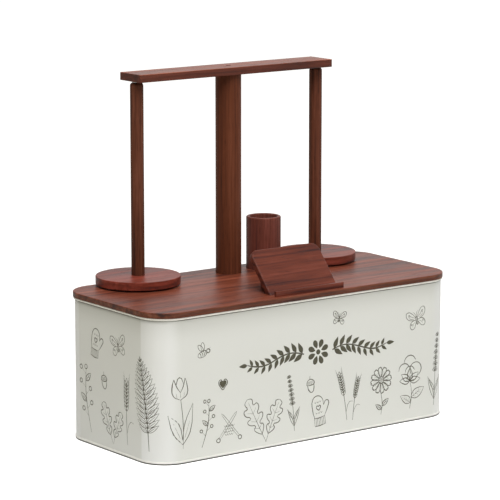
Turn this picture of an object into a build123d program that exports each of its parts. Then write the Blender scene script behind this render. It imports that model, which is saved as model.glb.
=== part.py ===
from build123d import *
from math import cos, radians, sin, tan
import os

# Yarn dispenser box: a steel tin with a wooden lid that carries a post, a top
# bar with two hanging yarn spindles, a cup for hooks and a rest for a phone.
# Millimetres. Origin: centre of the tin's underside. +X to the right along the
# tin, +Y to the back, +Z up. The front, where the phone rest is, faces -Y.

# Tin
tin_length = 350.0
tin_depth = 155.0
tin_height = 136.5
tin_corner_radius = 28.0
sheet_thickness = 0.6
rim_radius = 0.9  # curl that stiffens the top edge, rolled outwards
bottom_seam_height = 3.0
bottom_seam_clearance = 0.05
side_seam_width = 8.0
side_seam_proud = 0.5

# Lid
lid_thickness = 5.0
lid_overhang = 1.8
lid_edge_radius = 0.8
lid_seat_gap = 0.1  # between the rim and the lid
locating_board_thickness = 9.0
locating_board_clearance = 1.2  # to the inside of the tin
locating_board_chamfer = 1.5
lid_screw_spacing_x = 130.0
lid_screw_spacing_y = 70.0

# Post and top bar
post_radius = 12.5
post_height = 194.4
post_back_margin = 24.75  # from the tin's back to the line of post, spindles and cup
bar_end_inset = 61.0  # from the tin's ends to the bar's
bar_width = 33.5
bar_thickness = 7.5
bar_edge_chamfer = 0.4

# Yarn spindles, each hung from a magnet in the bar by a steel swivel
spindle_inset = 7.5  # from the bar's ends
spindle_radius = 6.35
spindle_dome_radius = 3.0
spigot_radius = 4.0  # foot of the spindle, let into its disc
spigot_length = 3.5
spigot_clearance = 0.05
disc_radius = 40.5
disc_thickness = 8.0
disc_edge_radius = 0.6
disc_gap = 1.6  # between the lid and the hanging disc
magnet_radius = 5.0
magnet_thickness = 3.0
magnet_glue = 0.15
swivel_head_radius = 4.5
swivel_head_thickness = 0.7
swivel_gap = 0.3  # above the head, below it, above the clip and below the tail
swivel_shank_radius = 1.5
swivel_running_clearance = 0.05
swivel_tail = 1.0
clip_radius = 2.6
clip_thickness = 0.8
clip_groove_depth = 0.4
clip_mouth = 1.6
bush_radius = 3.0
bush_length = 8.0
bush_fit = 0.02

# Cup for crochet hooks
cup_radius = 17.0
cup_height = 51.5
cup_wall = 3.5
cup_floor = 8.0
cup_rim_radius = 1.2
cup_screw_spacing = 14.0
cup_post_share = 2 / 3  # of the free room between post and disc, left on the post's side

# Phone rest: a low lip in front and a sloping back with two braces
rest_x = 2.0
rest_width = 80.0
lip_setback = 5.3  # from the lid's front edge
lip_thickness = 3.0
lip_height = 5.0
lip_edge_radius = 0.6
phone_channel = 5.8  # between the lip and the foot of the back
back_tilt = 41.0  # degrees from upright
back_length = 50.0
back_thickness = 6.0
back_edge_radius = 1.2
back_corner_radius = 8.0
brace_width = 10.0
brace_height = 30.0
brace_inset = 14.0  # from the ends of the rest
brace_screw_inset = 6.0  # from the upright edge of the brace

# Screws
countersink_angle = 82.0
screw_clearance = 0.1
screw_tip_cover = 1.5  # wood left beyond a screw's tip
screw_point = 2.0  # length of a screw's point, in shank radii
recess_span = 1.6  # cross recess across both arms, in head radii
recess_arm = 0.25  # width of its arms, in head radii
recess_depth = 0.5  # in heights of the countersunk head
wood_screw_radius = 1.75
wood_screw_head_radius = 3.4
bar_screw_radius = 1.5
bar_screw_head_radius = 2.6
bar_screw_length = 35.0
brace_screw_bite = 12.0
disc_screw_length = 30.0
plug_radius = 2.75
plug_thickness = 2.4
plug_sink = 0.2
post_screw_radius = 3.0
post_screw_length = 50.0
post_screw_point = 5.0
post_screw_taper = 2.4  # how far the point narrows on each side
post_screw_head_radius = 5.0  # to the middle of a flat
post_screw_head_height = 4.0
washer_radius = 9.0
washer_thickness = 1.6
counterbore_radius = 10.5
counterbore_depth = 6.5

# Places worked out from the sizes above
post_y = tin_depth / 2 - post_back_margin
bar_length = tin_length - 2 * bar_end_inset
spindle_x = bar_length / 2 - spindle_inset
cup_room = spindle_x - disc_radius - post_radius - 2 * cup_radius
cup_x = post_radius + cup_radius + cup_post_share * cup_room
lid_bottom = tin_height + lid_seat_gap
lid_top = lid_bottom + lid_thickness
locating_board_bottom = lid_bottom - locating_board_thickness
bar_underside = lid_top + post_height
bar_top = bar_underside + bar_thickness
disc_bottom = lid_top + disc_gap
disc_top = disc_bottom + disc_thickness
swivel_top = bar_underside - swivel_gap
swivel_head_bottom = swivel_top - swivel_head_thickness
spindle_top = swivel_head_bottom - swivel_gap
bush_bottom = spindle_top - bush_length
clip_top = bush_bottom - swivel_gap
clip_bottom = clip_top - clip_thickness
swivel_bottom = clip_bottom - swivel_tail
bush_bore_bottom = swivel_bottom - swivel_gap
washer_top = locating_board_bottom + counterbore_depth
washer_bottom = washer_top - washer_thickness
post_screw_top = washer_bottom + post_screw_length
plug_top = bar_top - plug_sink
bar_screw_top = plug_top - plug_thickness
lip_front = -tin_depth / 2 - lid_overhang + lip_setback
back_foot = lip_front + lip_thickness + phone_channel
back_slope = tan(radians(back_tilt))
back_height = back_length * cos(radians(back_tilt))
brace_foot = back_foot + back_thickness / cos(radians(back_tilt))
brace_back = brace_foot + brace_height * back_slope
brace_offset = rest_width / 2 - brace_inset - brace_width / 2
boards_thickness = locating_board_thickness + lid_thickness
lid_screw_length = boards_thickness - screw_tip_cover
cup_screw_length = boards_thickness + cup_floor - screw_tip_cover
brace_screw_length = boards_thickness + brace_screw_bite
spindle_places = {"left": -spindle_x, "right": spindle_x}


def save(piece, name):
    piece.label = name
    export_step(piece, f"parts/{name}.step")


# The tin's outline seen from above, grown all round.
def tin_outline(growth, mode=Mode.ADD):
    length = tin_length + 2 * growth
    depth = tin_depth + 2 * growth
    return RectangleRounded(length, depth, tin_corner_radius + growth, mode=mode)


# Planes at height z that face down, for holes drilled upwards.
def from_below(places, z):
    return [Plane(origin=(x, y, z), x_dir=(1, 0, 0), z_dir=(0, 0, -1)) for x, y in places]


def lid_screw_places():
    return [(x, y) for x in (-lid_screw_spacing_x, 0, lid_screw_spacing_x)
            for y in (-lid_screw_spacing_y / 2, lid_screw_spacing_y / 2)]


def cup_screw_places():
    return [(cup_x - cup_screw_spacing / 2, post_y), (cup_x + cup_screw_spacing / 2, post_y)]


def brace_screw_places():
    return [(rest_x + side * brace_offset, brace_back - brace_screw_inset) for side in (-1, 1)]


# A piece turned about the upright line through (x, post_y), from its half
# profile as (radius, height) points.
def turned(profile, x):
    with BuildPart() as piece:
        with BuildSketch(Plane(origin=(x, post_y, 0), x_dir=(1, 0, 0), z_dir=(0, -1, 0))):
            with BuildLine():
                Polyline(*profile, close=True)
            make_face()
        revolve(axis=Axis((x, post_y, 0), (0, 0, 1)))
    return piece.part


# A countersunk screw that points up, with the face of its head at z = 0.
def countersunk_screw(radius, head_radius, length):
    head_height = (head_radius - radius) / tan(radians(countersink_angle / 2))
    with BuildPart() as screw:
        with BuildSketch(Plane.XZ):
            with BuildLine():
                Polyline(
                    (0, 0),
                    (head_radius, 0),
                    (radius, head_height),
                    (radius, length - screw_point * radius),
                    (0, length),
                    close=True,
                )
            make_face()
        revolve(axis=Axis.Z)
        with BuildSketch():
            Rectangle(recess_span * head_radius, recess_arm * head_radius)
            Rectangle(recess_arm * head_radius, recess_span * head_radius)
        extrude(amount=recess_depth * head_height, mode=Mode.SUBTRACT)
    return screw.part


# Alike wood screws driven up from height z, kept together as one node.
def wood_screws(places, z, length):
    with BuildPart() as screws:
        with Locations(*[(x, y, z) for x, y in places]):
            add(countersunk_screw(wood_screw_radius, wood_screw_head_radius, length))
    return screws.part


os.makedirs("parts", exist_ok=True)

# ---- The tin ----

# Wall: one bent sheet with a curled rim and a lapped seam up the back.
with BuildPart() as tin_wall:
    with BuildSketch(Plane.XY.offset(sheet_thickness)):
        tin_outline(0)
        tin_outline(-sheet_thickness, mode=Mode.SUBTRACT)
    extrude(amount=tin_height - rim_radius - sheet_thickness)
    rim_growth = rim_radius - sheet_thickness / 2
    rim_x = tin_length / 2 + rim_growth
    rim_y = tin_depth / 2 + rim_growth
    with BuildLine(Plane.XY.offset(tin_height - rim_radius)):
        rim = FilletPolyline(
            (-rim_x, -rim_y),
            (rim_x, -rim_y),
            (rim_x, rim_y),
            (-rim_x, rim_y),
            radius=tin_corner_radius + rim_growth,
            close=True,
        )
    with BuildSketch(Plane(origin=rim @ 0, z_dir=rim % 0)):
        Circle(rim_radius)
    sweep()
    seam_bottom = bottom_seam_height + bottom_seam_clearance
    with BuildSketch(Plane.XY.offset(seam_bottom)):
        with Locations((0, (tin_depth + side_seam_proud) / 2)):
            Rectangle(side_seam_width, side_seam_proud)
    extrude(amount=tin_height - rim_radius - seam_bottom)
save(tin_wall.part, "tin_wall")

# Base: a flat panel with its edge folded up on both sides of the wall.
with BuildPart() as tin_base:
    with BuildSketch():
        tin_outline(bottom_seam_clearance + sheet_thickness)
    extrude(amount=bottom_seam_height)
    fillet(tin_base.edges().group_by(Axis.Z)[0], sheet_thickness / 2)
    fillet(tin_base.edges().group_by(Axis.Z)[-1], sheet_thickness / 2)
    with BuildSketch(Plane.XY.offset(sheet_thickness)):
        tin_outline(bottom_seam_clearance)
    extrude(amount=bottom_seam_height, mode=Mode.SUBTRACT)
    with BuildSketch(Plane.XY.offset(sheet_thickness)):
        tin_outline(-sheet_thickness - bottom_seam_clearance)
        tin_outline(-2 * sheet_thickness - bottom_seam_clearance, mode=Mode.SUBTRACT)
    extrude(amount=bottom_seam_height - sheet_thickness)
save(tin_base.part, "tin_base")

# ---- The lid ----

# Top board, with blind holes for its own screws and open ones for the rest.
with BuildPart() as lid_board:
    with BuildSketch(Plane.XY.offset(lid_bottom)):
        tin_outline(lid_overhang)
    extrude(amount=lid_thickness)
    fillet(lid_board.edges().group_by(Axis.Z)[-1], lid_edge_radius)
    with Locations(*from_below(lid_screw_places(), lid_bottom)):
        Hole(wood_screw_radius + screw_clearance, depth=lid_thickness - screw_tip_cover + screw_clearance)
    with Locations(*from_below(cup_screw_places() + brace_screw_places(), lid_bottom)):
        Hole(wood_screw_radius + screw_clearance, depth=lid_thickness)
    with Locations(*from_below([(0, post_y)], lid_bottom)):
        Hole(post_screw_radius + screw_clearance, depth=lid_thickness)
save(lid_board.part, "lid_board")

# Board under the lid that drops inside the tin's rim.
with BuildPart() as locating_board:
    with BuildSketch(Plane.XY.offset(locating_board_bottom)):
        tin_outline(-sheet_thickness - locating_board_clearance)
    extrude(amount=locating_board_thickness)
    chamfer(locating_board.edges().group_by(Axis.Z)[0], locating_board_chamfer)
    screw_places = lid_screw_places() + cup_screw_places() + brace_screw_places()
    with Locations(*from_below(screw_places, locating_board_bottom)):
        CounterSinkHole(
            wood_screw_radius + screw_clearance,
            wood_screw_head_radius + screw_clearance,
            depth=locating_board_thickness,
            counter_sink_angle=countersink_angle,
        )
    with Locations(*from_below([(0, post_y)], locating_board_bottom)):
        CounterBoreHole(
            post_screw_radius + screw_clearance,
            counterbore_radius,
            counterbore_depth,
            depth=locating_board_thickness,
        )
save(locating_board.part, "locating_board")

save(wood_screws(lid_screw_places(), locating_board_bottom, lid_screw_length), "lid_screws")

# ---- Post and top bar ----

with BuildPart() as post:
    with BuildSketch(Plane((0, post_y, lid_top))):
        Circle(post_radius)
    extrude(amount=post_height)
    with Locations(*from_below([(0, post_y)], lid_top)):
        Hole(post_screw_radius + screw_clearance, depth=post_screw_top - lid_top + screw_clearance)
    with Locations((0, post_y, bar_underside)):
        Hole(
            bar_screw_radius + screw_clearance,
            depth=bar_underside - bar_screw_top + bar_screw_length + screw_clearance,
        )
save(post.part, "post")

# Hexagon-headed screw from below the lid, up the middle of the post.
with BuildPart() as post_screw:
    with BuildSketch(Plane((0, post_y, washer_bottom))):
        Circle(post_screw_radius)
    extrude(amount=post_screw_length)
    chamfer(
        post_screw.edges().group_by(Axis.Z)[-1],
        post_screw_point,
        post_screw_taper,
        reference=post_screw.faces().filter_by(GeomType.CYLINDER)[0],
    )
    with BuildSketch(Plane((0, post_y, washer_bottom))):
        RegularPolygon(post_screw_head_radius, 6, major_radius=False)
    extrude(amount=-post_screw_head_height)
save(post_screw.part, "post_screw")

with BuildPart() as post_washer:
    with BuildSketch(Plane((0, post_y, washer_bottom))):
        Circle(washer_radius)
        Circle(post_screw_radius + screw_clearance, mode=Mode.SUBTRACT)
    extrude(amount=washer_thickness)
save(post_washer.part, "post_washer")

# Bar across the top, with a plugged screw over the post and two magnet pockets.
with BuildPart() as top_bar:
    with BuildSketch(Plane((0, post_y, bar_underside))):
        Rectangle(bar_length, bar_width)
    extrude(amount=bar_thickness)
    chamfer(top_bar.edges(), bar_edge_chamfer)
    with Locations((0, post_y, bar_top)):
        Hole(plug_radius, depth=plug_thickness + plug_sink)
    with Locations((0, post_y, bar_screw_top)):
        CounterSinkHole(
            bar_screw_radius + screw_clearance,
            bar_screw_head_radius + screw_clearance,
            depth=bar_screw_top - bar_underside,
            counter_sink_angle=countersink_angle,
        )
    with Locations(*from_below([(x, post_y) for x in spindle_places.values()], bar_underside)):
        Hole(magnet_radius + magnet_glue, depth=magnet_thickness + magnet_glue)
save(top_bar.part, "top_bar")

with BuildPart() as bar_screw:
    with Locations(Plane(origin=(0, post_y, bar_screw_top), x_dir=(1, 0, 0), z_dir=(0, 0, -1))):
        add(countersunk_screw(bar_screw_radius, bar_screw_head_radius, bar_screw_length))
save(bar_screw.part, "bar_screw")

with BuildPart() as bar_plug:
    with BuildSketch(Plane((0, post_y, bar_screw_top))):
        Circle(plug_radius)
    extrude(amount=plug_thickness)
save(bar_plug.part, "bar_plug")

# ---- Yarn spindles ----

for side, x in spindle_places.items():
    with BuildPart() as magnet:
        with BuildSketch(Plane((x, post_y, bar_underside))):
            Circle(magnet_radius)
        extrude(amount=magnet_thickness)
    save(magnet.part, f"bar_magnet_{side}")

    # Swivel: a steel stud whose flat head clings under the magnet.
    groove_radius = swivel_shank_radius - clip_groove_depth
    swivel = turned(
        [
            (0, swivel_top),
            (swivel_head_radius, swivel_top),
            (swivel_head_radius, swivel_head_bottom),
            (swivel_shank_radius, swivel_head_bottom),
            (swivel_shank_radius, clip_top),
            (groove_radius, clip_top),
            (groove_radius, clip_bottom),
            (swivel_shank_radius, clip_bottom),
            (swivel_shank_radius, swivel_bottom),
            (0, swivel_bottom),
        ],
        x,
    )
    save(swivel, f"swivel_{side}")

    # Spring clip in the stud's groove, which the spindle's bush rests on.
    with BuildPart() as clip:
        with BuildSketch(Plane((x, post_y, clip_bottom))):
            Circle(clip_radius)
            with Locations((0, -clip_radius)):
                Rectangle(clip_mouth, 2 * clip_radius, mode=Mode.SUBTRACT)
            Circle(groove_radius, mode=Mode.SUBTRACT)
        extrude(amount=clip_thickness)
    save(clip.part, f"swivel_clip_{side}")

    with BuildPart() as bush:
        with BuildSketch(Plane((x, post_y, bush_bottom))):
            Circle(bush_radius)
            Circle(swivel_shank_radius + swivel_running_clearance, mode=Mode.SUBTRACT)
        extrude(amount=bush_length)
    save(bush.part, f"spindle_bush_{side}")

    # Spindle: a dowel with a rounded top, bored for the bush and the clip.
    with BuildPart() as spindle:
        with BuildSketch(Plane((x, post_y, disc_top))):
            Circle(spindle_radius)
        extrude(amount=spindle_top - disc_top)
        fillet(spindle.edges().group_by(Axis.Z)[-1], spindle_dome_radius)
        with BuildSketch(Plane((x, post_y, disc_top))):
            Circle(spigot_radius)
        extrude(amount=-spigot_length)
        with Locations((x, post_y, spindle_top)):
            Hole(bush_radius + bush_fit, depth=spindle_top - bush_bore_bottom)
        with Locations(*from_below([(x, post_y)], disc_top - spigot_length)):
            Hole(
                wood_screw_radius + screw_clearance,
                depth=disc_bottom + disc_screw_length - disc_top + spigot_length + screw_clearance,
            )
    save(spindle.part, f"spindle_{side}")

    # Disc that the ball of yarn sits on, screwed to the spindle from below.
    with BuildPart() as disc:
        with BuildSketch(Plane((x, post_y, disc_bottom))):
            Circle(disc_radius)
        extrude(amount=disc_thickness)
        fillet(disc.edges(), disc_edge_radius)
        with Locations((x, post_y, disc_top)):
            Hole(spigot_radius + spigot_clearance, depth=spigot_length + spigot_clearance)
        with Locations(*from_below([(x, post_y)], disc_bottom)):
            CounterSinkHole(
                wood_screw_radius + screw_clearance,
                wood_screw_head_radius + screw_clearance,
                depth=disc_thickness,
                counter_sink_angle=countersink_angle,
            )
    save(disc.part, f"yarn_disc_{side}")

    save(wood_screws([(x, post_y)], disc_bottom, disc_screw_length), f"disc_screw_{side}")

# ---- Cup for hooks ----

with BuildPart() as hook_cup:
    with BuildSketch(Plane((cup_x, post_y, lid_top))):
        Circle(cup_radius)
    extrude(amount=cup_height)
    with Locations((cup_x, post_y, lid_top + cup_height)):
        Hole(cup_radius - cup_wall, depth=cup_height - cup_floor)
    fillet(hook_cup.edges().group_by(Axis.Z)[-1], cup_rim_radius)
    with Locations(*from_below(cup_screw_places(), lid_top)):
        Hole(wood_screw_radius + screw_clearance, depth=cup_floor - screw_tip_cover + screw_clearance)
save(hook_cup.part, "hook_cup")

save(wood_screws(cup_screw_places(), locating_board_bottom, cup_screw_length), "cup_screws")

# ---- Phone rest ----

# Lip that stops the phone sliding forwards, glued to the lid.
with BuildPart() as phone_lip:
    with BuildSketch(Plane((rest_x, lip_front + lip_thickness / 2, lid_top))):
        Rectangle(rest_width, lip_thickness)
    extrude(amount=lip_height)
    fillet(phone_lip.edges().group_by(Axis.Z)[-1], lip_edge_radius)
save(phone_lip.part, "phone_lip")

# Sloping back that the phone leans on. The crest is where its face ends.
crest = Vector(back_foot + back_height * back_slope, lid_top + back_height)
through = Vector(cos(radians(back_tilt)), -sin(radians(back_tilt))) * back_thickness
with BuildPart() as phone_back:
    with BuildSketch(Plane.YZ.offset(rest_x - rest_width / 2)):
        with BuildLine():
            Polyline(
                (back_foot, lid_top),
                crest,
                crest + through,
                (brace_foot, lid_top),
                close=True,
            )
        make_face()
    extrude(amount=rest_width)
    fillet(phone_back.edges().filter_by(Axis((0, 0, 0), (0, through.X, through.Y))), back_corner_radius)
    fillet(phone_back.edges().filter_by(Axis.X).sort_by(Axis.Z)[-2:], back_edge_radius)
save(phone_back.part, "phone_back")

# Braces behind the back, each with a screw up into it.
for side, sign in {"left": -1, "right": 1}.items():
    brace_x = rest_x + sign * brace_offset
    with BuildPart() as brace:
        with BuildSketch(Plane.YZ.offset(brace_x - brace_width / 2)):
            with BuildLine():
                Polyline(
                    (brace_foot, lid_top),
                    (brace_back, lid_top),
                    (brace_back, lid_top + brace_height),
                    close=True,
                )
            make_face()
        extrude(amount=brace_width)
        with Locations(*from_below([(brace_x, brace_back - brace_screw_inset)], lid_top)):
            Hole(wood_screw_radius + screw_clearance, depth=brace_screw_bite + screw_clearance)
    save(brace.part, f"phone_brace_{side}")

save(wood_screws(brace_screw_places(), locating_board_bottom, brace_screw_length), "brace_screws")
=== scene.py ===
import math
import random

import bpy
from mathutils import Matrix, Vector


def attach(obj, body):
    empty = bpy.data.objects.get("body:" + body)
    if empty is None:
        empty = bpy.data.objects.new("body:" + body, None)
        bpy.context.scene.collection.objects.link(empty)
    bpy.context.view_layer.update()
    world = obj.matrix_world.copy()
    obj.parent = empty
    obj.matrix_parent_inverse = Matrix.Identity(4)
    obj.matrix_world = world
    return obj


# Finish, print, light and camera of the yarn dispenser box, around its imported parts.
# Metres. The tin stands on z = 0 with its front, where the phone rest is, facing -Y.
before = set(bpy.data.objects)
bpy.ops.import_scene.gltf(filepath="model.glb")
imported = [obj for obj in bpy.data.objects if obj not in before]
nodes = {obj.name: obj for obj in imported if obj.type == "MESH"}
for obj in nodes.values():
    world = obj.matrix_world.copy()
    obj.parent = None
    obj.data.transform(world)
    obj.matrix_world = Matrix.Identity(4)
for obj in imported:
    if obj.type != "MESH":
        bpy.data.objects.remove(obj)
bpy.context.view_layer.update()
bpy.ops.object.select_all(action="DESELECT")


# Colour and shader helpers.

def paint(red, green, blue):  # a screen colour, 0 to 255, as the linear colour that shaders take
    def linear(value):
        value = value / 255
        return value / 12.92 if value <= 0.04045 else ((value + 0.055) / 1.055) ** 2.4
    return (linear(red), linear(green), linear(blue), 1.0)


class Wire:  # a shader value that is worked with like a number
    def __init__(self, finish, socket):
        self.finish = finish
        self.socket = socket

    def math(self, operation, *others):
        return self.finish.math(operation, self, *others)

    def __add__(self, other):
        return self.math("ADD", other)

    def __sub__(self, other):
        return self.math("SUBTRACT", other)

    def __mul__(self, other):
        return self.math("MULTIPLY", other)

    def __truediv__(self, other):
        return self.math("DIVIDE", other)

    def __pow__(self, power):
        return self.math("POWER", power)

    __radd__ = __add__
    __rmul__ = __mul__

    def __rsub__(self, other):
        return self.finish.math("SUBTRACT", other, self)

    def part(self, name):  # X, Y or Z of a vector
        return self.finish.node("SeparateXYZ", {}, {"Vector": self}, name)

    def eased(self, low, high):  # 0 below low, 1 above high
        inputs = {"Value": self, "From Min": low, "From Max": high}
        return self.finish.node("MapRange", {"interpolation_type": "SMOOTHSTEP"}, inputs)


class Finish:  # the nodes of a material, or of the world
    def __init__(self, owner):
        self.owner = owner
        owner.use_nodes = True
        self.tree = owner.node_tree
        self.tree.nodes.clear()

    def node(self, kind, settings, inputs, output=0):
        made = self.tree.nodes.new("ShaderNode" + kind)
        for key, value in settings.items():
            if key == "stops":
                self.setStops(made.color_ramp, value)
            else:
                setattr(made, key, value)
        for key, value in inputs.items():
            if isinstance(value, Wire):
                self.tree.links.new(value.socket, made.inputs[key])
            else:
                made.inputs[key].default_value = value
        return Wire(self, made.outputs[output]) if made.outputs else None

    def math(self, operation, *values):
        return self.node("Math", {"operation": operation}, dict(enumerate(values)))

    def setStops(self, ramp, stops):
        while len(ramp.elements) < len(stops):
            ramp.elements.new(1.0)
        for element, (place, colour) in zip(ramp.elements, stops):
            element.position = place
            element.color = colour

    def spot(self, turn=(0, 0, 0)):  # where on the piece, with the axes turned
        place = self.node("TexCoord", {}, {}, "Object")
        return self.node("Mapping", {}, {"Vector": place, "Rotation": turn})

    def noise(self, vector, scale, detail, roughness=0.5, seed=0.0):
        inputs = {"Scale": 1.0, "Detail": detail, "Roughness": roughness, "W": seed}
        inputs["Vector"] = self.node("VectorMath", {"operation": "MULTIPLY"}, {0: vector, 1: scale})
        return self.node("TexNoise", {"noise_dimensions": "4D"}, inputs)

    def mix(self, factor, first, second):
        return self.node("Mix", {"data_type": "RGBA"}, {0: factor, 6: first, 7: second}, 2)

    def bump(self, height, depth, under=None):
        inputs = {"Height": height, "Strength": 1.0, "Distance": depth}
        if under:
            inputs["Normal"] = under
        return self.node("Bump", {}, inputs)

    def surface(self, inputs):
        shader = self.node("BsdfPrincipled", {}, inputs)
        self.node("OutputMaterial", {}, {"Surface": shader})
        return self.owner


def newFinish(name):
    return Finish(bpy.data.materials.new(name))


# Wood. Each piece is cut from its own place in a log: the grain runs along the turned X.
alongX = (0, 0, 0)
alongZ = (0, math.radians(90), 0)

wood = {
    "reddish": paint(104, 50, 36),
    "brown": paint(99, 53, 34),
    "pore": paint(30, 14, 11),
    "darkShare": (0.34, 0.42, 0.66),    # the dark and the light streaks, in shares of the tone
    "lightShare": (1.7, 1.9, 2.2),
    "plain": 0.56,         # the tone of plain wood, on the way from the dark to the light
    "fibres": 0.45,        # how much fibres and blotches change the tone
    "blotches": 0.6,
    "poreCover": 0.5,      # how much of a pore's colour shows
    "roughness": 0.42,
    "roughFibre": 0.12,    # and how much fibres, pores and the rings' late wood change it
    "roughPore": 0.2,
    "smoothRing": 0.04,
    "wander": 0.012,       # how far the rings wander from round
    "ripple": 1.4,         # and how far they ripple, in rings
    "poreDepth": 0.00006,
    "fibreDepth": 0.00002,
    "litTopDepth": 0.0008,   # how far down the painted highlight on an upper face reaches
    # scales along and across the grain
    "wanderGrain": (3.0, 12.0, 12.0),
    "rippleGrain": (5.0, 60.0, 60.0),
    "blotchGrain": (7.0, 30.0, 30.0),
    "fibreGrain": (28.0, 1100.0, 1100.0),
    "poreGrain": (75.0, 2600.0, 2600.0),
}


def share(colour, shares):
    return (colour[0] * shares[0], colour[1] * shares[1], colour[2] * shares[2], 1.0)


def grained(made, tone, colour):  # from the dark streaks over the tone itself to the light ones
    dark = share(colour, wood["darkShare"])
    light = share(colour, wood["lightShare"])
    stops = [(0.12, dark), (0.5, colour), (0.9, light)]
    return made.node("ValToRGB", {"stops": stops}, {"Fac": tone})


def woodFinish(name, look):
    made = newFinish(name)
    seed = look["seed"]
    spot = made.spot(look["grain"])
    wanderY = made.noise(spot, wood["wanderGrain"], 1.0, seed=seed)
    wanderZ = made.noise(spot, wood["wanderGrain"], 1.0, seed=seed + 5)
    acrossY = spot.part("Y") - look["pith"][0] + (wanderY - 0.5) * wood["wander"]
    acrossZ = spot.part("Z") - look["pith"][1] + (wanderZ - 0.5) * wood["wander"]
    fromPith = (acrossY * acrossY + acrossZ * acrossZ) ** 0.5
    ripple = made.noise(spot, wood["rippleGrain"], 2.0, seed=seed + 9)
    ring = (fromPith / look["ringGap"] + ripple * wood["ripple"]).math("FRACT")
    lateWood = ring.eased(0.25, 0.92) * (1.0 - ring.eased(0.94, 1.0))
    long, fine = look["streak"]
    streak = made.noise(spot, (long, fine, fine), 4.0, 0.62, seed + 2)
    fibre = made.noise(spot, wood["fibreGrain"], 2.0, 0.6, seed + 3)
    blotch = made.noise(spot, wood["blotchGrain"], 2.0, 0.5, seed + 4)
    tone = wood["plain"] - lateWood * look["rings"] + (streak - 0.5) * look["streaks"]
    tone = tone + (fibre - 0.5) * wood["fibres"] + (blotch - 0.5) * wood["blotches"]
    colour = grained(made, tone, look["tone"])
    if "top" in look:  # the upper face gets a painted highlight: a lighter, redder tone standing in for the stronger light from above
        height, litTopTone = look["top"]
        above = spot.part("Z").eased(height - wood["litTopDepth"], height)
        colour = made.mix(above, colour, grained(made, tone, litTopTone))
    pore = made.noise(spot, wood["poreGrain"], 1.0, 0.4, seed + 7).eased(0.62, 0.72)
    colour = made.mix(pore * wood["poreCover"], colour, wood["pore"])
    bump = made.bump(fibre, wood["fibreDepth"], made.bump(1.0 - pore, wood["poreDepth"]))
    roughness = wood["roughness"] + (fibre - 0.5) * wood["roughFibre"] + pore * wood["roughPore"]
    roughness = roughness - lateWood * wood["smoothRing"]
    inputs = {"Base Color": colour, "Roughness": roughness, "Normal": bump, "IOR": look["gloss"]}
    return made.surface(inputs)


# What a piece's look says: the colour of its tone, the way its grain runs, how far apart its rings
# are and how dark, the scales of its streaks along and across the grain and how strong they are,
# its gloss, and where its log's middle was. A top with a painted highlight has its height and its own
# lighter tone, which stands in for light from above. The seed gives each piece noise of its own.
flat = {
    "tone": wood["reddish"], "grain": alongX, "ringGap": 0.0055, "rings": 0.16,
    "streak": (9.0, 150.0), "streaks": 1.6, "gloss": 1.27,
}
turned = {
    "tone": wood["brown"], "grain": alongZ, "ringGap": 0.003, "rings": 0.10,
    "streak": (6.0, 420.0), "streaks": 0.7, "gloss": 1.18,
}
streaky = {**turned, "streak": (14.0, 420.0), "streaks": 1.5}
# the tops of the lid and the bar carry a painted highlight, a lighter tone than their sides
woodPieces = {
    "lid_board": {
        **flat, "tone": paint(101, 58, 41), "streaks": 2.1, "top": (0.1416, paint(116, 58, 39)),
        "pith": (0.05, -0.30), "seed": 1.0,
    },
    "top_bar": {
        **flat, "tone": paint(84, 38, 24), "gloss": 1.33, "top": (0.3435, paint(134, 67, 42)),
        "pith": (0.03, 0.10), "seed": 11.0,
    },
    "post": {**turned, "pith": (0.02, 0.11), "seed": 21.0},
    "bar_plug": {
        **turned, "tone": paint(80, 30, 22), "gloss": 1.06, "pith": (0.01, 0.09), "seed": 26.0,
    },
    "spindle_left": {**streaky, "tone": paint(93, 52, 36), "pith": (0.05, -0.16), "seed": 31.0},
    "spindle_right": {**streaky, "tone": paint(95, 52, 36), "pith": (-0.04, 0.15), "seed": 36.0},
    "yarn_disc_left": {**flat, "tone": paint(123, 54, 40), "pith": (0.03, -0.05), "seed": 41.0},
    "yarn_disc_right": {**flat, "tone": paint(120, 55, 41), "pith": (-0.02, -0.06), "seed": 46.0},
    "hook_cup": {
        **turned, "tone": paint(112, 60, 49), "streak": (8.0, 300.0),
        "pith": (0.06, 0.09), "seed": 51.0,
    },
    "phone_lip": {**flat, "pith": (0.06, 0.02), "seed": 56.0},
    "phone_back": {**flat, "pith": (0.02, -0.05), "seed": 61.0},
    "phone_brace_left": {**flat, "pith": (0.04, -0.02), "seed": 66.0},
    "phone_brace_right": {**flat, "pith": (0.03, -0.03), "seed": 71.0},
}
for name, look in woodPieces.items():
    nodes[name].material_slots[0].material = woodFinish("wood_" + name, look)
print("wood:", len(woodPieces), "pieces")

# The locating board is plywood: seven plies, the grain turned in every other one.
plywood = {
    "low": 0.1276,         # the height of its underside
    "ply": 0.0013,
    "streak": (6.0, 160.0),
    "grainDepth": 0.00004,
    "roughness": 0.62,
    "pale": paint(206, 172, 126),
    "brown": paint(158, 116, 74),
    "crossedBrown": 0.35,  # how much browner the crossed plies are
    "glue": paint(98, 66, 42),
    "glueCover": 0.6,
}


def plywoodFinish():
    made = newFinish("plywood")
    spot = made.spot()
    layer = (spot.part("Z") - plywood["low"]) / plywood["ply"]
    inPly = layer.math("FRACT")
    crossed = (layer * 0.5).math("FRACT").eased(0.495, 0.505)
    long, fine = plywood["streak"]
    lengthways = made.noise(spot, (long, fine, fine), 3.0, 0.6, 3.0)
    sideways = made.noise(spot, (fine, long, fine), 3.0, 0.6, 8.0)
    grain = lengthways * (1.0 - crossed) + sideways * crossed
    colour = made.mix(grain.eased(0.3, 0.75), plywood["pale"], plywood["brown"])
    colour = made.mix(crossed * plywood["crossedBrown"], colour, plywood["brown"])
    glueLine = 1.0 - inPly.eased(0.0, 0.09) + inPly.eased(0.93, 1.0)
    colour = made.mix(glueLine * plywood["glueCover"], colour, plywood["glue"])
    normal = made.bump(grain, plywood["grainDepth"])
    inputs = {"Base Color": colour, "Roughness": plywood["roughness"], "Normal": normal}
    return made.surface(inputs)


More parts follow.
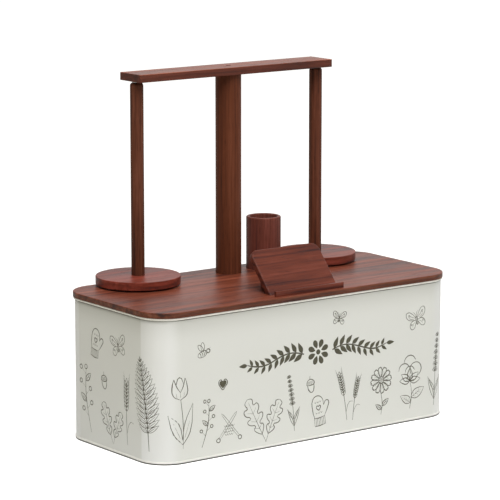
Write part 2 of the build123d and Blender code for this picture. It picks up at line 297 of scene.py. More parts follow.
nodes["locating_board"].material_slots[0].material = plywoodFinish()

# Metals. Each has its own marks: crystals on zinc, fine turning rings on what is turned.
metalWear = {
    "scale": 90.0,
    "dulled": (0.72, 0.72, 0.74),  # the worn colour, in shares of the bright one
    "cover": 0.3,                  # how much of it shows
    "roughWorn": 0.2,              # and how much wear and grain change the roughness
    "roughGrain": 0.08,
    "turning": 9000.0,             # how close the turning rings lie
}
metals = {
    "zinc_steel": {
        "colour": paint(176, 180, 184), "roughness": 0.38, "grain": 700.0, "depth": 0.00001, "rings": 0,
    },
    "nickel_magnet": {
        "colour": paint(200, 196, 188), "roughness": 0.22, "grain": 1500.0, "depth": 0.000004, "rings": 0,
    },
    "turned_steel": {
        "colour": paint(190, 190, 190), "roughness": 0.26, "grain": 900.0, "depth": 0.000004,
        "rings": 0.00001,
    },
    "spring_steel": {
        "colour": paint(112, 112, 118), "roughness": 0.34, "grain": 900.0, "depth": 0.000006, "rings": 0,
    },
    "brass_bush": {
        "colour": paint(202, 168, 96), "roughness": 0.28, "grain": 900.0, "depth": 0.000004,
        "rings": 0.00001,
    },
}


def metalFinish(name, look):
    made = newFinish(name)
    spot = made.spot()
    grain = made.noise(spot, (look["grain"],) * 3, 2.0, 0.6)
    worn = made.noise(spot, (metalWear["scale"],) * 3, 3.0, 0.6, 4.0)
    dulled = share(look["colour"], metalWear["dulled"])
    colour = made.mix(worn.eased(0.35, 0.8) * metalWear["cover"], look["colour"], dulled)
    normal = made.bump(grain, look["depth"])
    if look["rings"]:
        turns = spot.part("Z") * metalWear["turning"]
        normal = made.bump(turns.math("SINE"), look["rings"], normal)
    roughness = look["roughness"] + (worn - 0.5) * metalWear["roughWorn"]
    roughness = roughness + (grain - 0.5) * metalWear["roughGrain"]
    inputs = {"Base Color": colour, "Metallic": 1.0, "Roughness": roughness, "Normal": normal}
    return made.surface(inputs)


metalFinishes = {name: metalFinish("metal_" + name, look) for name, look in metals.items()}
for node in nodes.values():
    slot = node.material_slots[0]
    if slot.material.name in metals:
        slot.material = metalFinishes[slot.material.name]

# Tin. Painted light on the enamel: a painted shade line along the bottom edge, painted highlights on the
# curl, the seam and the round corners, and painted shade softly towards the curl and as a dark line just
# under it.
tin = {
    "length": 0.350,
    "depth": 0.155,
    "corner": 0.028,
    "curl": 0.1347,        # the height of the curl's underside
    "seam": 0.0030,        # and of the bottom seam
    "inside": 0.0004,      # deeper than this under the wall's outer face is its inner side
    "outside": 0.0002,     # and less deep than this is the outer one
}
enamel = {
    "colour": paint(226, 227, 222),
    "cloud": paint(224, 224, 216),
    "cloudScale": 14.0,
    "cloudCover": 0.5,
    "roughCloud": 0.08,
    # painted highlight colour for the curl and the seam
    "bright": paint(250, 248, 241),
    "brightLow": 0.0006,       # the curl's painted highlight begins and is full so far below it
    "brightHigh": 0.0004,
    # painted highlight on the round corners, standing in for their reflection
    "corner": paint(250, 251, 252),
    "cornerX": 0.014,          # over how much of a corner its painted highlight comes
    "cornerY": 0.003,
    "cornerHighlightShare": 0.45,
    "shade": paint(178, 178, 169),
    "shadeReach": 0.032,       # how far below the curl its soft shade begins
    "shadeShare": 0.42,
    "shadeCorner": 0.2,        # how much less of it the corners have
    "creaseShade": paint(76, 74, 65),
    "creaseLow": 0.0014,       # the painted shade line under the curl begins and is full so far below it
    "creaseHigh": 0.0009,
    "creaseCorner": 0.6,       # and how much less of that the corners have
    "endReach": 0.0050,        # the deeper shade at the two ends
    "endShare": 0.55,
    "seamShare": 0.35,         # how much painted highlight the seam has, and how much more at the two ends
    "seamEnds": 0.4,
    "seamSoft": 0.0003,
    # painted shade colour for the line along the bottom edge, where the tin meets the floor
    "edge": paint(70, 68, 62),
    "bottomShade": 0.0014,            # the height of the painted shade line along the bottom edge
    "bottomShadeSoft": 0.0001,
    "roughness": 0.36,
    "peelScale": 900.0,
    "peel": 0.000012,          # how deep the enamel's orange peel is
}


def roundTin(spot):  # 1 on the outer face of the wall, 1 on its round corners, 1 at its two ends
    radius = tin["corner"]
    overX = spot.part("X").math("ABSOLUTE") - (tin["length"] / 2 - radius)
    overY = spot.part("Y").math("ABSOLUTE") - (tin["depth"] / 2 - radius)
    fromBend = (overX.math("MAXIMUM", 0.0) ** 2.0 + overY.math("MAXIMUM", 0.0) ** 2.0) ** 0.5
    corner = overX.eased(0.0, enamel["cornerX"]) * overY.eased(0.0, enamel["cornerY"])
    outside = fromBend.eased(radius - tin["inside"], radius - tin["outside"])
    return outside, corner, overX.eased(0.0, radius)


def enamelFinish():
    made = newFinish("creamEnamel")
    spot = made.spot()
    height = spot.part("Z")
    outside, corner, ends = roundTin(spot)
    peel = made.noise(spot, (enamel["peelScale"],) * 3, 1.0)
    cloud = made.noise(spot, (enamel["cloudScale"],) * 3, 2.0)
    colour = made.mix(cloud * enamel["cloudCover"], enamel["colour"], enamel["cloud"])
    # painted highlight on the round corners
    colour = made.mix(corner * outside * enamel["cornerHighlightShare"], colour, enamel["corner"])
    nearCurl = height.eased(tin["curl"] - enamel["shadeReach"], tin["curl"]) ** 2.0
    shade = nearCurl * (enamel["shadeShare"] - corner * enamel["shadeCorner"])
    colour = made.mix(shade, colour, enamel["shade"])
    # a painted shade line just under the curl, where its shadow falls
    creaseShade = height.eased(tin["curl"] - enamel["creaseLow"], tin["curl"] - enamel["creaseHigh"])
    creaseShade = creaseShade * outside * (1.0 - corner * enamel["creaseCorner"])
    colour = made.mix(creaseShade, colour, enamel["creaseShade"])
    # deeper painted shade under the curl at the two ends
    underCurl = height.eased(tin["curl"] - enamel["endReach"], tin["curl"]) ** 1.5
    colour = made.mix(underCurl * outside * ends * enamel["endShare"], colour, enamel["creaseShade"])
    # painted highlight on the curl and on the seam, standing in for the light they catch
    curl = height.eased(tin["curl"] - enamel["brightLow"], tin["curl"] - enamel["brightHigh"])
    seam = 1.0 - height.eased(tin["seam"], tin["seam"] + enamel["seamSoft"])
    paintedHighlight = curl + seam * outside * (enamel["seamShare"] + ends * enamel["seamEnds"])
    colour = made.mix(paintedHighlight, colour, enamel["bright"])
    # a painted shade line along the bottom edge, standing in for the contact shadow
    bottomShade, soft = enamel["bottomShade"], enamel["bottomShadeSoft"]
    low = height.eased(soft, 2 * soft) * (1.0 - height.eased(bottomShade - soft, bottomShade + soft))
    colour = made.mix(low * outside, colour, enamel["edge"])
    normal = made.bump(peel, enamel["peel"])
    roughness = enamel["roughness"] + (cloud - 0.5) * enamel["roughCloud"]
    return made.surface({"Base Color": colour, "Roughness": roughness, "Normal": normal})


creamEnamel = enamelFinish()
for name in ("tin_wall", "tin_base"):
    nodes[name].material_slots[0].material = creamEnamel
print("finishes on", len(nodes), "nodes")

# Print on the tin: ink drawings all round and a leaf garland in the middle of the front.
# It is drawn flat, in millimetres along and up the wall, and then laid round the tin.
ink = {
    "colour": paint(72, 69, 50),
    "worn": paint(100, 97, 76),
    "wornScale": 420.0,
    "wornCover": 0.35,     # how much of the worn colour shows
    "roughness": 0.5,
    "roughWorn": 0.1,
    "outline": 0.84,       # widths of the pens
    "close": 0.52,         # where outlines lie close together
    "detail": 0.44,
    "lineRise": 0.15,      # how proud a line stands, in shares of its own height
    "fillRise": 0.00004,
    "hand": 0.10,          # how far the hand strays
    "tube": 0.0005,        # the radius of a line that is 1 wide
    "merge": 0.000002,     # points as close as this are one
}


def polar(centre, reach, heading):
    angle = math.radians(heading)
    return (centre[0] + reach * math.cos(angle), centre[1] + reach * math.sin(angle))


def leafAxes(base, heading, length, width):  # places on a leaf: t from foot to tip, side across it
    def at(t, side):
        return polar(polar(base, length * t, heading), width * side, heading + 90)
    return at


def stemOf(height, lean):  # places on a stem that leans over more and more
    def at(t):
        return (lean * height * t * t, height * t)
    return at


def stemHeading(lean, t):
    return math.degrees(math.atan2(1, 2 * lean * t))


class Pen:  # gathers lines and filled shapes
    def __init__(self, seed):
        self.lines = []
        self.fills = []
        self.hand = random.Random(seed)

    def at(self, along, up, turn=0):
        self.origin = (along, up)
        self.turn = turn
        return self

    def place(self, point):
        heading = math.degrees(math.atan2(point[1], point[0])) + self.turn
        return polar(self.origin, math.hypot(*point), heading)

    def line(self, points, width=None, ends=(0.7, 0.4), closed=False):
        width = width or ink["outline"]
        drawn = []
        for k, point in enumerate(points):
            along, up = self.place(point)
            first, last = k == 0, k == len(points) - 1
            press = width * (ends[0] if first else ends[1] if last else self.hand.uniform(0.8, 1.2))
            stray = 0 if first or last else ink["hand"]
            drawn.append((along + self.hand.gauss(0, stray), up + self.hand.gauss(0, stray), press))
        self.lines.append((drawn, closed, ()))

    def ring(self, centre, radius, width=None):
        self.line([polar(centre, radius, 60 * k) for k in range(6)], width, (1, 1), closed=True)

    def fill(self, points, sharp=()):
        self.fills.append(([(*self.place(point), 1) for point in points], True, sharp))


def leaf(pen, base, heading, length, width, veins=0, rib=0.8, line=None):
    at = leafAxes(base, heading, length, width)
    for side in (1, -1):
        pen.line([at(0, 0), at(0.3, 0.46 * side), at(0.65, 0.4 * side), at(1, 0)], line)
        for k in range(veins):
            t = 0.16 + 0.56 * k / veins
            pen.line([at(t, 0), at(t + 0.16, 0.3 * side)], ink["detail"])
    if rib:
        pen.line([at(0, 0), at(rib * 0.5, 0.03), at(rib, 0)], ink["detail"])


def bud(pen, base, heading, length, width, line=None):
    at = leafAxes(base, heading, length, width)
    edge = [at(0, 0), at(0.35, 0.42), at(0.8, 0.36), at(1, 0), at(0.8, -0.36), at(0.35, -0.42)]
    pen.line(edge, line or ink["detail"], (1, 1), closed=True)


def solidLeaf(pen, base, heading, length, width):
    at = leafAxes(base, heading, length, width)
    edge = [at(0, 0), at(0.3, 0.5), at(0.62, 0.4), at(1, 0), at(0.62, -0.4), at(0.3, -0.5)]
    pen.fill(edge, (0, 3))


def fern(pen, height, lean, pairs):
    stem = stemOf(height, lean)
    pen.line([stem(t) for t in (0, 0.25, 0.5, 0.75, 1)], 0.8)
    for k in range(pairs):
        rank = k / (pairs - 1)
        t = 0.2 + 0.76 * rank
        reach = height * 0.21 * math.sin(math.pi * (0.25 + 0.7 * rank)) ** 0.8
        for side in (1, -1):
            heading = stemHeading(lean, t) + side * (62 - 20 * t) + pen.hand.uniform(-3, 3)
            leaf(pen, stem(t), heading, reach, reach * 0.26, rib=0.7, line=ink["close"])
    leaf(pen, stem(0.97), stemHeading(lean, 1), height * 0.05, height * 0.016, 0, 0, ink["close"])


def lavender(pen, height, lean):
    stem = stemOf(height, lean)
    pen.line([stem(t) for t in (0, 0.3, 0.6, 0.9)], 0.6)
    for k in range(7):
        t = 0.46 + 0.078 * k
        for spread in (-70, -35, 0, 35, 70):
            bud(pen, stem(t), 90 - 20 * lean + spread, height * (0.062 - 0.003 * k), height * 0.03)
    for side in (1, -1):
        leaf(pen, stem(0.08), 90 + side * 22, height * 0.34, height * 0.045, 0, 0, ink["close"])
        leaf(pen, stem(0.2), 90 - side * 34, height * 0.2, height * 0.035, 0, 0, ink["close"])


def daisy(pen, radius, petals, stalk):
    edge = [(0, 0.1), (0.4, 0.42), (0.85, 0.4), (0.97, 0.12), (0.9, 0)]
    edge += [(1, -0.14), (0.83, -0.42), (0.4, -0.4), (0, -0.1)]
    for k in range(petals):
        heading = 360 * k / petals + 7
        at = leafAxes(polar((0, 0), radius * 0.27, heading), heading, radius * 0.73, radius * 0.38)
        pen.line([at(t, side) for t, side in edge])
        for side in (0.15, -0.15):
            pen.line([at(0.08, side), at(0.62, side * 1.2)], ink["detail"])
    pen.ring((0, 0), radius * 0.25)
    for k in range(7):
        pen.ring(polar((0, 0), radius * 0.15 * (k > 0), 60 * k), radius * 0.035, ink["detail"])
    pen.line([(0, -radius), (1.5, -radius - stalk * 0.5), (0, -radius - stalk)], 0.7)
    leaf(pen, (1.2, -radius - stalk * 0.6), 40, stalk * 0.5, stalk * 0.2, 3)
    leaf(pen, (1.0, -radius - stalk * 0.75), 145, stalk * 0.45, stalk * 0.18, 3)


def tulip(pen, height):
    cup, wide = height * 0.3, height * 0.11
    foot = height - cup
    for side in (1, -1):
        reach = side * wide
        lip = (reach * 0.8, height)
        pen.line([(0, foot), (reach, foot + cup * 0.22), (reach * 1.05, foot + cup * 0.7), lip])
        pen.line([lip, (reach * 0.45, foot + cup * 0.62), (0, foot + cup * 0.35)])
    shoulder = foot + cup * 0.72
    pen.line([(-wide * 0.55, shoulder), (0, height * 1.02), (wide * 0.55, shoulder)])
    for x in (-0.5, 0, 0.5):
        pen.line([(x * wide, foot + cup * 0.12), (x * wide * 1.2, foot + cup * 0.34)], ink["detail"])
    pen.line([(0, foot), (height * 0.02, foot * 0.5), (0, 0)], 0.7)
    for side, long in ((1, 0.62), (-1, 0.5)):
        tip = (side * height * 0.2, height * long)
        pen.line([(0, 0.06 * height), (side * height * 0.13, height * 0.22), tip])
        pen.line([(0, 0.13 * height), (side * height * 0.05, height * 0.36), tip])
        fold = [(side * height * 0.04, 0.16 * height), (side * height * 0.13, height * 0.38)]
        pen.line(fold, ink["detail"])


def wheat(pen, height, lean):
    stem = stemOf(height, lean)
    pen.line([stem(t) for t in (0, 0.35, 0.7, 0.86)], 0.6)
    for k in range(8):
        t = 0.5 + 0.05 * k
        for side in (1, -1):
            heading = stemHeading(lean, t) + side * 27
            bud(pen, stem(t), heading, height * 0.1, height * 0.042, ink["close"])
            tip = polar(stem(t), height * 0.1, heading)
            pen.line([tip, polar(tip, height * 0.13, heading - side * 13)], ink["detail"], (0.8, 0.3))
    bud(pen, stem(0.88), stemHeading(lean, 0.9), height * 0.1, height * 0.04, ink["close"])
    pen.line([stem(0.16), (height * 0.1, height * 0.34), (height * 0.19, height * 0.33)], 0.5)


def butterfly(pen, span):
    unit = span / 22
    for side in (1, -1):
        def at(*places):
            return [(side * x * unit, y * unit) for x, y in places]
        pen.line(at((0.4, 0.5), (3, 5.5), (9, 9.5), (11, 7.5), (9.5, 3), (5, 0.6), (0.4, 0)), 0.6)
        pen.line(at((0.4, 0), (6, -0.4), (8.6, -3), (7.4, -7), (4.4, -6.6), (1.8, -3), (0.4, -0.8)), 0.6)
        pen.line(at((2, 2), (5.5, 4.6), (8.6, 7.2)), ink["detail"])
        pen.line(at((3, 1.2), (6.5, 2.6), (8.4, 4.4)), ink["detail"])
        pen.line(at((2, -1.2), (4.5, -3), (6, -5.2)), ink["detail"])
        pen.line(at((0.1, 2.6), (1, 6), (3, 8)), ink["detail"])
        pen.ring(at((7.6, 5.9))[0], unit * 0.8, ink["detail"])
        pen.ring(at((6.6, -2.6))[0], unit * 0.7, ink["detail"])
    bud(pen, (0, -4.5 * unit), 90, 7.5 * unit, 1.6 * unit, ink["outline"])


def heart(pen, size, up=0, filled=True):
    right = [(0, 0.55), (0.45, 0.95), (0.95, 0.7), (0.95, 0.15), (0.5, -0.45)]
    loop = right + [(0, -0.95)] + [(-x, y) for x, y in reversed(right[1:])]
    if filled:
        pen.fill([(x * size * 0.78, up + y * size * 0.78) for x, y in loop], (0, 5))
    pen.line([(x * size, up + y * size) for x, y in loop], None, (1, 1), closed=True)


def mitten(pen, height):
    unit = height / 30
    def at(*places):
        return [(x * unit, y * unit) for x, y in places]
    pen.line(at((-6, 8), (-7.5, 17), (-6, 27), (0, 30), (5.5, 26), (6.5, 19)))
    pen.line(at((6.5, 19), (10, 23), (13, 21.5), (11.5, 16), (6.2, 8)))
    for y in (0, 8):
        pen.line(at((-6.6, y), (0, y - 0.6), (6.6, y)))
    for k in range(8):
        x = -6.6 + 13.2 * k / 7
        pen.line(at((x, 0), (x * 0.96, 8)), ink["detail"], (1, 1))
    for x in (-3, 0, 3):
        for y in (12, 23):
            pen.line(at((x - 1, y + 1.4), (x, y), (x + 1, y + 1.4)), ink["detail"])
    heart(pen, 2.6 * unit, 17.5 * unit, False)


def needles(pen, length):
    for side in (1, -1):
        foot, heading = (side * length * 0.36, 0), 90 + side * 40
        for shift in (0.9, -0.9):
            start = polar(foot, shift, heading + 90)
            taper = polar(polar(start, length * 0.9, heading), -shift * 0.2, heading + 90)
            pen.line([start, taper, polar(foot, length, heading)], ink["detail"])
        pen.ring(polar(foot, -1.6, heading), 1.9)
    for row in range(4):  # the knitting that they hold
        y = length * (0.34 - 0.085 * row)
        for k in range(5 - row % 2):
            x = (k - 2 + 0.5 * (row % 2)) * length * 0.075
            pen.line([(x - 1.3, y + 1.6), (x, y), (x + 1.3, y + 1.6)], ink["detail"])


def cotton(pen, height):
    unit = height / 34
    pen.line([(0, 0), (1.5 * unit, 9 * unit), (0, 19 * unit)], 0.7)
    puffs = [
        (-4.6, 25, 4.6, 20, 200), (4.6, 25, 4.6, -60, 260),
        (0, 29.5, 5, 20, 200), (0, 23.4, 4, 20, 200),
    ]
    for x, y, radius, start, end in puffs:
        centre = (x * unit, y * unit)
        pen.line([polar(centre, radius * unit, angle) for angle in range(start, end, 40)])
    for heading in (35, 90, 145, 4, 176):
        leaf(pen, (0, 18 * unit), heading, 8.5 * unit, 4.2 * unit, rib=0.6)
    leaf(pen, (unit, 7 * unit), 28, 12 * unit, 6 * unit, 3)
    leaf(pen, (unit, 4 * unit), 150, 10 * unit, 5 * unit, 3)


def berries(pen, height, lean):
    def stem(t):
        return (lean * height * math.sin(t * 2.4), height * t)
    pen.line([stem(t) for t in (0, 0.25, 0.5, 0.75, 1)], 0.65)
    for k in range(7):
        t, side = 0.26 + 0.11 * k, 1 if k % 2 else -1
        heading = 90 - side * 50
        if k % 3 == 2:
            leaf(pen, stem(t), heading, height * 0.2, height * 0.085, 2)
            continue
        end = polar(stem(t), height * 0.13, heading)
        pen.line([stem(t), end], ink["detail"])
        pen.ring(polar(end, height * 0.032, heading), height * 0.034)
    pen.ring(polar(stem(1), height * 0.035, 90), height * 0.035)


def oakLeaf(pen, length):
    edge = [(0, 0.06), (0.1, 0.17), (0.13, 0.27), (0.07, 0.33), (0.19, 0.42), (0.22, 0.52)]
    edge += [(0.11, 0.56), (0.2, 0.68), (0.19, 0.79), (0.09, 0.8), (0.11, 0.93), (0, 1)]
    for side in (1, -1):
        pen.line([(side * x * length, y * length) for x, y in edge])
        for y in (0.22, 0.4, 0.62):
            pen.line([(0, y * length), (side * 0.13 * length, (y + 0.09) * length)], ink["detail"])
    pen.line([(0.02 * length, -0.16 * length), (0, 0.3 * length), (0, 0.92 * length)], 0.47)


def acorn(pen, size):
    unit = size / 12
    def at(*places):
        return [(x * unit, y * unit) for x, y in places]
    pen.line(at((-4, 0), (-3.6, -5), (0, -9), (3.6, -5), (4, 0)))
    pen.line(at((-5, 0), (-3.8, 3.6), (0, 5), (3.8, 3.6), (5, 0), (0, -0.9), (-5, 0)))
    for k in (-2, -1, 0, 1, 2):
        pen.line(at(((k - 0.8) * 1.6, 0.2), (k * 1.3, 3.6)), ink["detail"])
        pen.line(at(((k + 0.8) * 1.6, 0.2), (k * 1.3, 3.6)), ink["detail"])
    pen.line(at((0, 5), (1, 9)), 0.8)


def bee(pen, size):
    unit = size / 14
    bud(pen, (-6 * unit, 0), 0, 10 * unit, 6 * unit, ink["close"])
    pen.ring((5.4 * unit, 0), 1.7 * unit)
    for x in (-3.4, -1.4, 0.6, 2.4):
        pen.line([(x * unit, 2.2 * unit), ((x + 0.5) * unit, 0), (x * unit, -2.2 * unit)], 0.7, (1, 1))
    for heading in (75, 112):
        bud(pen, (0.4 * unit, 2.2 * unit), heading, 7.5 * unit, 4 * unit, ink["close"])
    for y in (0.6, -0.6):
        pen.line([(6.6 * unit, y * unit), (8.6 * unit, (y * 2 + 1) * unit)], ink["detail"])


def garland(pen, reach, wave):
    petal = [(0.3, 0), (0.6, 0.4), (0.88, 0.36), (1, 0), (0.88, -0.36), (0.6, -0.4)]
    for k in range(8):  # the flower in the middle
        at = leafAxes((0, 0), 45 * k + 22.5, 12.5, 6.0)
        pen.fill([at(t, side) for t, side in petal], (0,))
    pen.fill([polar((0, 0), 2.5, angle) for angle in range(0, 360, 45)])
    for side in (1, -1):  # and a branch to each side
        def stem(t):
            return (side * (17 + (reach - 27) * t), wave * math.sin(t * math.pi * 2) - 2 * t)
        pen.line([stem(k / 8) for k in range(9)], 1.3, (1, 0.6))
        for k in range(9):
            t = 0.03 + 0.11 * k
            rise = wave * 2 * math.pi * math.cos(t * 2 * math.pi) - 2
            slope = math.degrees(math.atan2(rise, side * (reach - 27)))
            for way in (1, -1):
                foot = polar(stem(t), 0.5, slope + way * 90)
                solidLeaf(pen, foot, slope + way * 48, 12.0 - 0.55 * k, 4.8 - 0.22 * k)
        solidLeaf(pen, stem(1), 90 - side * 90, 10, 3.8)


prints = {  # each drawing's place along and up the wall, its turn and its sizes
    "print_garland": [(garland, 9, 84, 0, {"reach": 93, "wave": 3.6})],
    "print_front": [
        (tulip, -147, 14, 3, {"height": 66}),
        (berries, -126, 12, -6, {"height": 42, "lean": 0.12}),
        (bee, -124, 100, 20, {"size": 15}),
        (heart, -102, 68, 0, {"size": 5}),
        (needles, -95, 17, 0, {"length": 31}),
        (oakLeaf, -56, 12, 26, {"length": 42}),
        (oakLeaf, -51, 12, -24, {"length": 36}),
        (lavender, -19, 12, 3, {"height": 56, "lean": -0.08}),
        (acorn, 0, 54, 12, {"size": 11}),
        (mitten, 12, 13, 8, {"height": 29}),
        (butterfly, 34, 113, -10, {"span": 16}),
        (wheat, 44, 13, 6, {"height": 50, "lean": -0.1}),
        (wheat, 51, 12, -4, {"height": 43, "lean": 0.1}),
        (daisy, 86, 46, 0, {"radius": 13, "petals": 12, "stalk": 21}),
        (cotton, 122, 13, 0, {"height": 52}),
        (butterfly, 130, 100, 14, {"span": 24}),
        (lavender, 153, 12, -2, {"height": 74, "lean": 0.05}),
    ],
    "print_left": [
        (berries, -272, 12, 4, {"height": 60, "lean": -0.1}),
        (mitten, -266, 86, -10, {"height": 27}),
        (acorn, -250, 66, 10, {"size": 11}),
        (oakLeaf, -239, 14, 22, {"length": 34}),
        (oakLeaf, -234, 13, -24, {"length": 30}),
        (butterfly, -226, 102, 12, {"span": 24}),
        (wheat, -212, 12, 4, {"height": 64, "lean": 0.06}),
        (fern, -180, 12, 3, {"height": 86, "lean": -0.08, "pairs": 16}),
    ],
    "print_right": [
        (berries, 187, 14, 0, {"height": 56, "lean": -0.12}),
        (tulip, 204, 13, -2, {"height": 62}),
        (butterfly, 203, 102, 12, {"span": 24}),
        (heart, 223, 68, 0, {"size": 5}),
        (oakLeaf, 236, 14, 16, {"length": 36}),
        (oakLeaf, 240, 13, -28, {"length": 32}),
        (needles, 238, 84, 0, {"length": 32}),
        (wheat, 266, 14, -2, {"height": 70, "lean": -0.06}),
        (lavender, 290, 14, -6, {"height": 84, "lean": 0.08}),
    ],
    "print_back_right": [
        (fern, 348, 12, 6, {"height": 90, "lean": -0.12, "pairs": 16}),
        (daisy, 380, 56, 0, {"radius": 16, "petals": 13, "stalk": 29}),
        (butterfly, 396, 104, 16, {"span": 22}),
        (cotton, 413, 14, 0, {"height": 52}),
        (mitten, 437, 18, -6, {"height": 30}),
        (lavender, 462, 14, 2, {"height": 66, "lean": -0.08}),
    ],
    "print_back_left": [
        (oakLeaf, -445, 14, 20, {"length": 44}),
        (oakLeaf, -440, 13, -26, {"length": 40}),
        (acorn, -433, 66, 10, {"size": 13}),
        (tulip, -404, 13, 0, {"height": 56}),
        (bee, -394, 94, 18, {"size": 15}),
        (wheat, -384, 14, -2, {"height": 70, "lean": 0.06}),
        (heart, -366, 20, 0, {"size": 6}),
        (fern, -346, 12, -5, {"height": 88, "lean": 0.1, "pairs": 16}),
    ],
}


def inkFinish():
    made = newFinish("ink")
    patch = made.noise(made.spot(), (ink["wornScale"],) * 3, 2.0)
    colour = made.mix(patch.eased(0.45, 0.75) * ink["wornCover"], ink["colour"], ink["worn"])
    roughness = ink["roughness"] + (patch - 0.5) * ink["roughWorn"]
    return made.surface({"Base Color": colour, "Roughness": roughness})


def onTin(along, up, out):  # from the drawing to the wall, 0 in the middle of the front
    turnX = tin["length"] / 2 - tin["corner"]  # where the corners' centres are
    turnY = tin["depth"] / 2 - tin["corner"]
    bend = tin["corner"] * math.pi / 2
    side, rest = math.copysign(1, along), abs(along)
    radius = tin["corner"] + out
    if rest < turnX:
        x, y = rest, -turnY - radius
    elif rest < turnX + bend:
        angle = (rest - turnX) / tin["corner"]
        x, y = turnX + radius * math.sin(angle), -turnY - radius * math.cos(angle)
    elif rest < turnX + bend + 2 * turnY:
        x, y = turnX + radius, rest - turnX - bend - turnY
    elif rest < turnX + 2 * bend + 2 * turnY:
        angle = (rest - turnX - bend - 2 * turnY) / tin["corner"]
        x, y = turnX + radius * math.cos(angle), turnY + radius * math.sin(angle)
    else:
        x, y = 2 * (turnX + bend + turnY) - rest, turnY + radius
    return Vector((side * x, y, up))


def inkCurve(name, loops, settings):  # each loop: its points, whether it is closed, its sharp points
    bpy.ops.object.add(type="CURVE")
    drawn = bpy.context.object
    drawn.name = name
    for key, value in settings.items():
        setattr(drawn.data, key, value)
    for points, closed, sharp in loops:
        stroke = drawn.data.splines.new("BEZIER")
        stroke.bezier_points.add(len(points) - 1)
        stroke.use_cyclic_u = closed
        for k, (along, up, press) in enumerate(points):
            point = stroke.bezier_points[k]
            point.co = (along * 0.001, up * 0.001, 0)
            point.radius = press
            point.handle_left_type = point.handle_right_type = "VECTOR" if k in sharp else "AUTO"
    return drawn


def printPiece(name, pen, finish):
    lines = {
        "dimensions": "3D", "bevel_depth": ink["tube"], "bevel_resolution": 0, "resolution_u": 3,
        "use_fill_caps": True,
    }
    shapes = {"dimensions": "2D", "fill_mode": "BOTH", "resolution_u": 4, "extrude": ink["fillRise"]}
    drawn = [inkCurve(name, pen.lines, lines)]
    drawn += [inkCurve(name + "Shape", [loop], shapes) for loop in pen.fills]
    for part in drawn:
        part.select_set(True)
    bpy.context.view_layer.objects.active = drawn[0]
    bpy.ops.object.convert(target="MESH")
    for vertex in drawn[0].data.vertices:  # lines are as high as wide until here
        vertex.co.z *= ink["lineRise"]
    if len(drawn) > 1:
        bpy.ops.object.join()
    bpy.ops.object.mode_set(mode="EDIT")
    bpy.ops.mesh.select_all(action="SELECT")
    bpy.ops.mesh.remove_doubles(threshold=ink["merge"])
    bpy.ops.mesh.normals_make_consistent(inside=False)
    bpy.ops.object.mode_set(mode="OBJECT")
    piece = bpy.context.object
    for vertex in piece.data.vertices:
        vertex.co = onTin(*vertex.co)
    piece.data.materials.clear()
    piece.data.materials.append(finish)
    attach(piece, "tin")
    print(name, len(piece.data.polygons), "faces")


printInk = inkFinish()
for seed, (name, drawings) in enumerate(prints.items()):
    pen = Pen(seed)
    for draw, along, up, turn, measures in drawings:
        draw(pen.at(along, up, turn), **measures)
    printPiece(name, pen, printInk)

# Stage: a white room, a big soft lamp high in front on the left and a weak one on the right.
light = {
    "world": 0.20,             # the light from all round, and its colour
    "warm": (1.0, 0.96, 0.82, 1.0),
    "floorSize": 60,
    "floor": (0.8, 0.8, 0.8, 1.0),
    "leftFloor": (0.64, 0.61, 0.51, 1.0),
    "leftEdge": (-0.6, -0.1),  # where the left floor ends and the other begins
    "glow": 0.62,              # how far the seen floor is lifted to white, near the part
    "farGlow": 0.24,           # and how much more far from it
    "farFloor": (0.3, 2.2),
    "mirrored": 0.65,          # how much less it is lifted in reflections
    "inFront": 0.35,           # how bright the room looks in the part's reflections
    "behind": 0.85,            # and how much brighter behind its right end
    "behindX": (0.1, 0.75),
    "behindY": (-0.5, 0.3),
    "aim": Vector((0, 0, 0.15)),
    "key": {"azimuth": -30, "elevation": 61, "distance": 2.4, "size": 1.7, "power": 59},
    "fill": {"azimuth": 55, "elevation": 25, "distance": 2.4, "size": 1.6, "power": 8},
}
white = (1.0, 1.0, 1.0, 1.0)
seenRays = ("Is Camera Ray", "Is Glossy Ray", "Is Transmission Ray")


def raySees(finish, *kinds):  # 1 for rays of these kinds
    path = finish.node("LightPath", {}, {}, kinds[0])
    for kind in kinds[1:]:
        path = path.math("MAXIMUM", finish.node("LightPath", {}, {}, kind))
    return path


bpy.context.scene.world = bpy.data.worlds.new("studio")
sky = Finish(bpy.context.scene.world)
toward = sky.node("TexCoord", {}, {}, "Generated")
behind = toward.part("Y").eased(*light["behindY"]) * toward.part("X").eased(*light["behindX"])
mirrored = raySees(sky, "Is Glossy Ray") * (behind * light["behind"] + light["inFront"])
strength = raySees(sky, "Is Camera Ray", "Is Transmission Ray").math("MAXIMUM", mirrored)
seen = raySees(sky, *seenRays)
tint = sky.mix(seen, light["warm"], white)
strength = strength.math("MAXIMUM", light["world"])
backdrop = sky.node("Background", {}, {"Color": tint, "Strength": strength})
sky.node("OutputWorld", {}, {"Surface": backdrop})

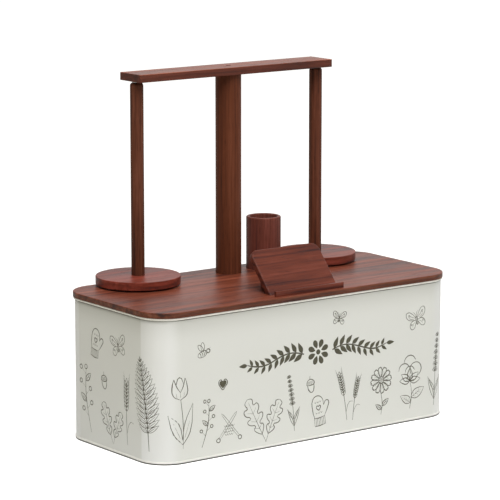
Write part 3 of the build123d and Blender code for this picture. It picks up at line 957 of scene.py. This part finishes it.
bpy.ops.mesh.primitive_plane_add(size=light["floorSize"])
floor = bpy.context.object
floor.name = "floor"
ground = newFinish("paleFloor")
place = ground.spot()
away = (place.part("X") ** 2.0 + place.part("Y") ** 2.0) ** 0.5
dimmed = place.part("X").eased(*light["leftEdge"])  # the left end gets less light, and warmer
grey = ground.mix(dimmed, light["leftFloor"], light["floor"])
matte = ground.node("BsdfDiffuse", {}, {"Color": grey})
lift = away.eased(*light["farFloor"]) * light["farGlow"] + light["glow"]
lift = lift * (1.0 - raySees(ground, "Is Glossy Ray") * light["mirrored"])
glow = ground.node("Emission", {}, {"Color": white, "Strength": lift})
lifted = ground.node("AddShader", {}, {0: matte, 1: glow})
shown = raySees(ground, *seenRays)
blend = ground.node("MixShader", {}, {0: shown, 1: matte, 2: lifted})
ground.node("OutputMaterial", {}, {"Surface": blend})
floor.data.materials.append(ground.owner)


def softBox(name, look):
    azimuth, elevation = math.radians(look["azimuth"]), math.radians(look["elevation"])
    level = math.cos(elevation)
    away = Vector((math.sin(azimuth) * level, -math.cos(azimuth) * level, math.sin(elevation)))
    bpy.ops.object.light_add(type="AREA", location=light["aim"] + away * look["distance"])
    lamp = bpy.context.object
    lamp.name = name
    lamp.rotation_euler = away.to_track_quat("Z", "Y").to_euler()
    lamp.data.size = look["size"]
    lamp.data.energy = look["power"]


softBox("key", light["key"])
softBox("fill", light["fill"])
bpy.context.scene.view_settings.view_transform = "Standard"

camera = {
    "target": Vector((-0.0133, 0, 0.1726)),
    "azimuth": -36.72,
    "elevation": 10.31,
    "distance": 2.5672,
    "lens": 193.99,
    "sensor": 36,
}
turn, rise = math.radians(camera["azimuth"]), math.radians(camera["elevation"])
back = Vector((math.sin(turn) * math.cos(rise), -math.cos(turn) * math.cos(rise), math.sin(rise)))
bpy.ops.object.camera_add(location=camera["target"] + back * camera["distance"])
viewer = bpy.context.object
viewer.rotation_euler = back.to_track_quat("Z", "Y").to_euler()
viewer.data.lens = camera["lens"]
viewer.data.sensor_width = camera["sensor"]
bpy.context.scene.camera = viewer
print("stage: a floor, two lamps and a camera")
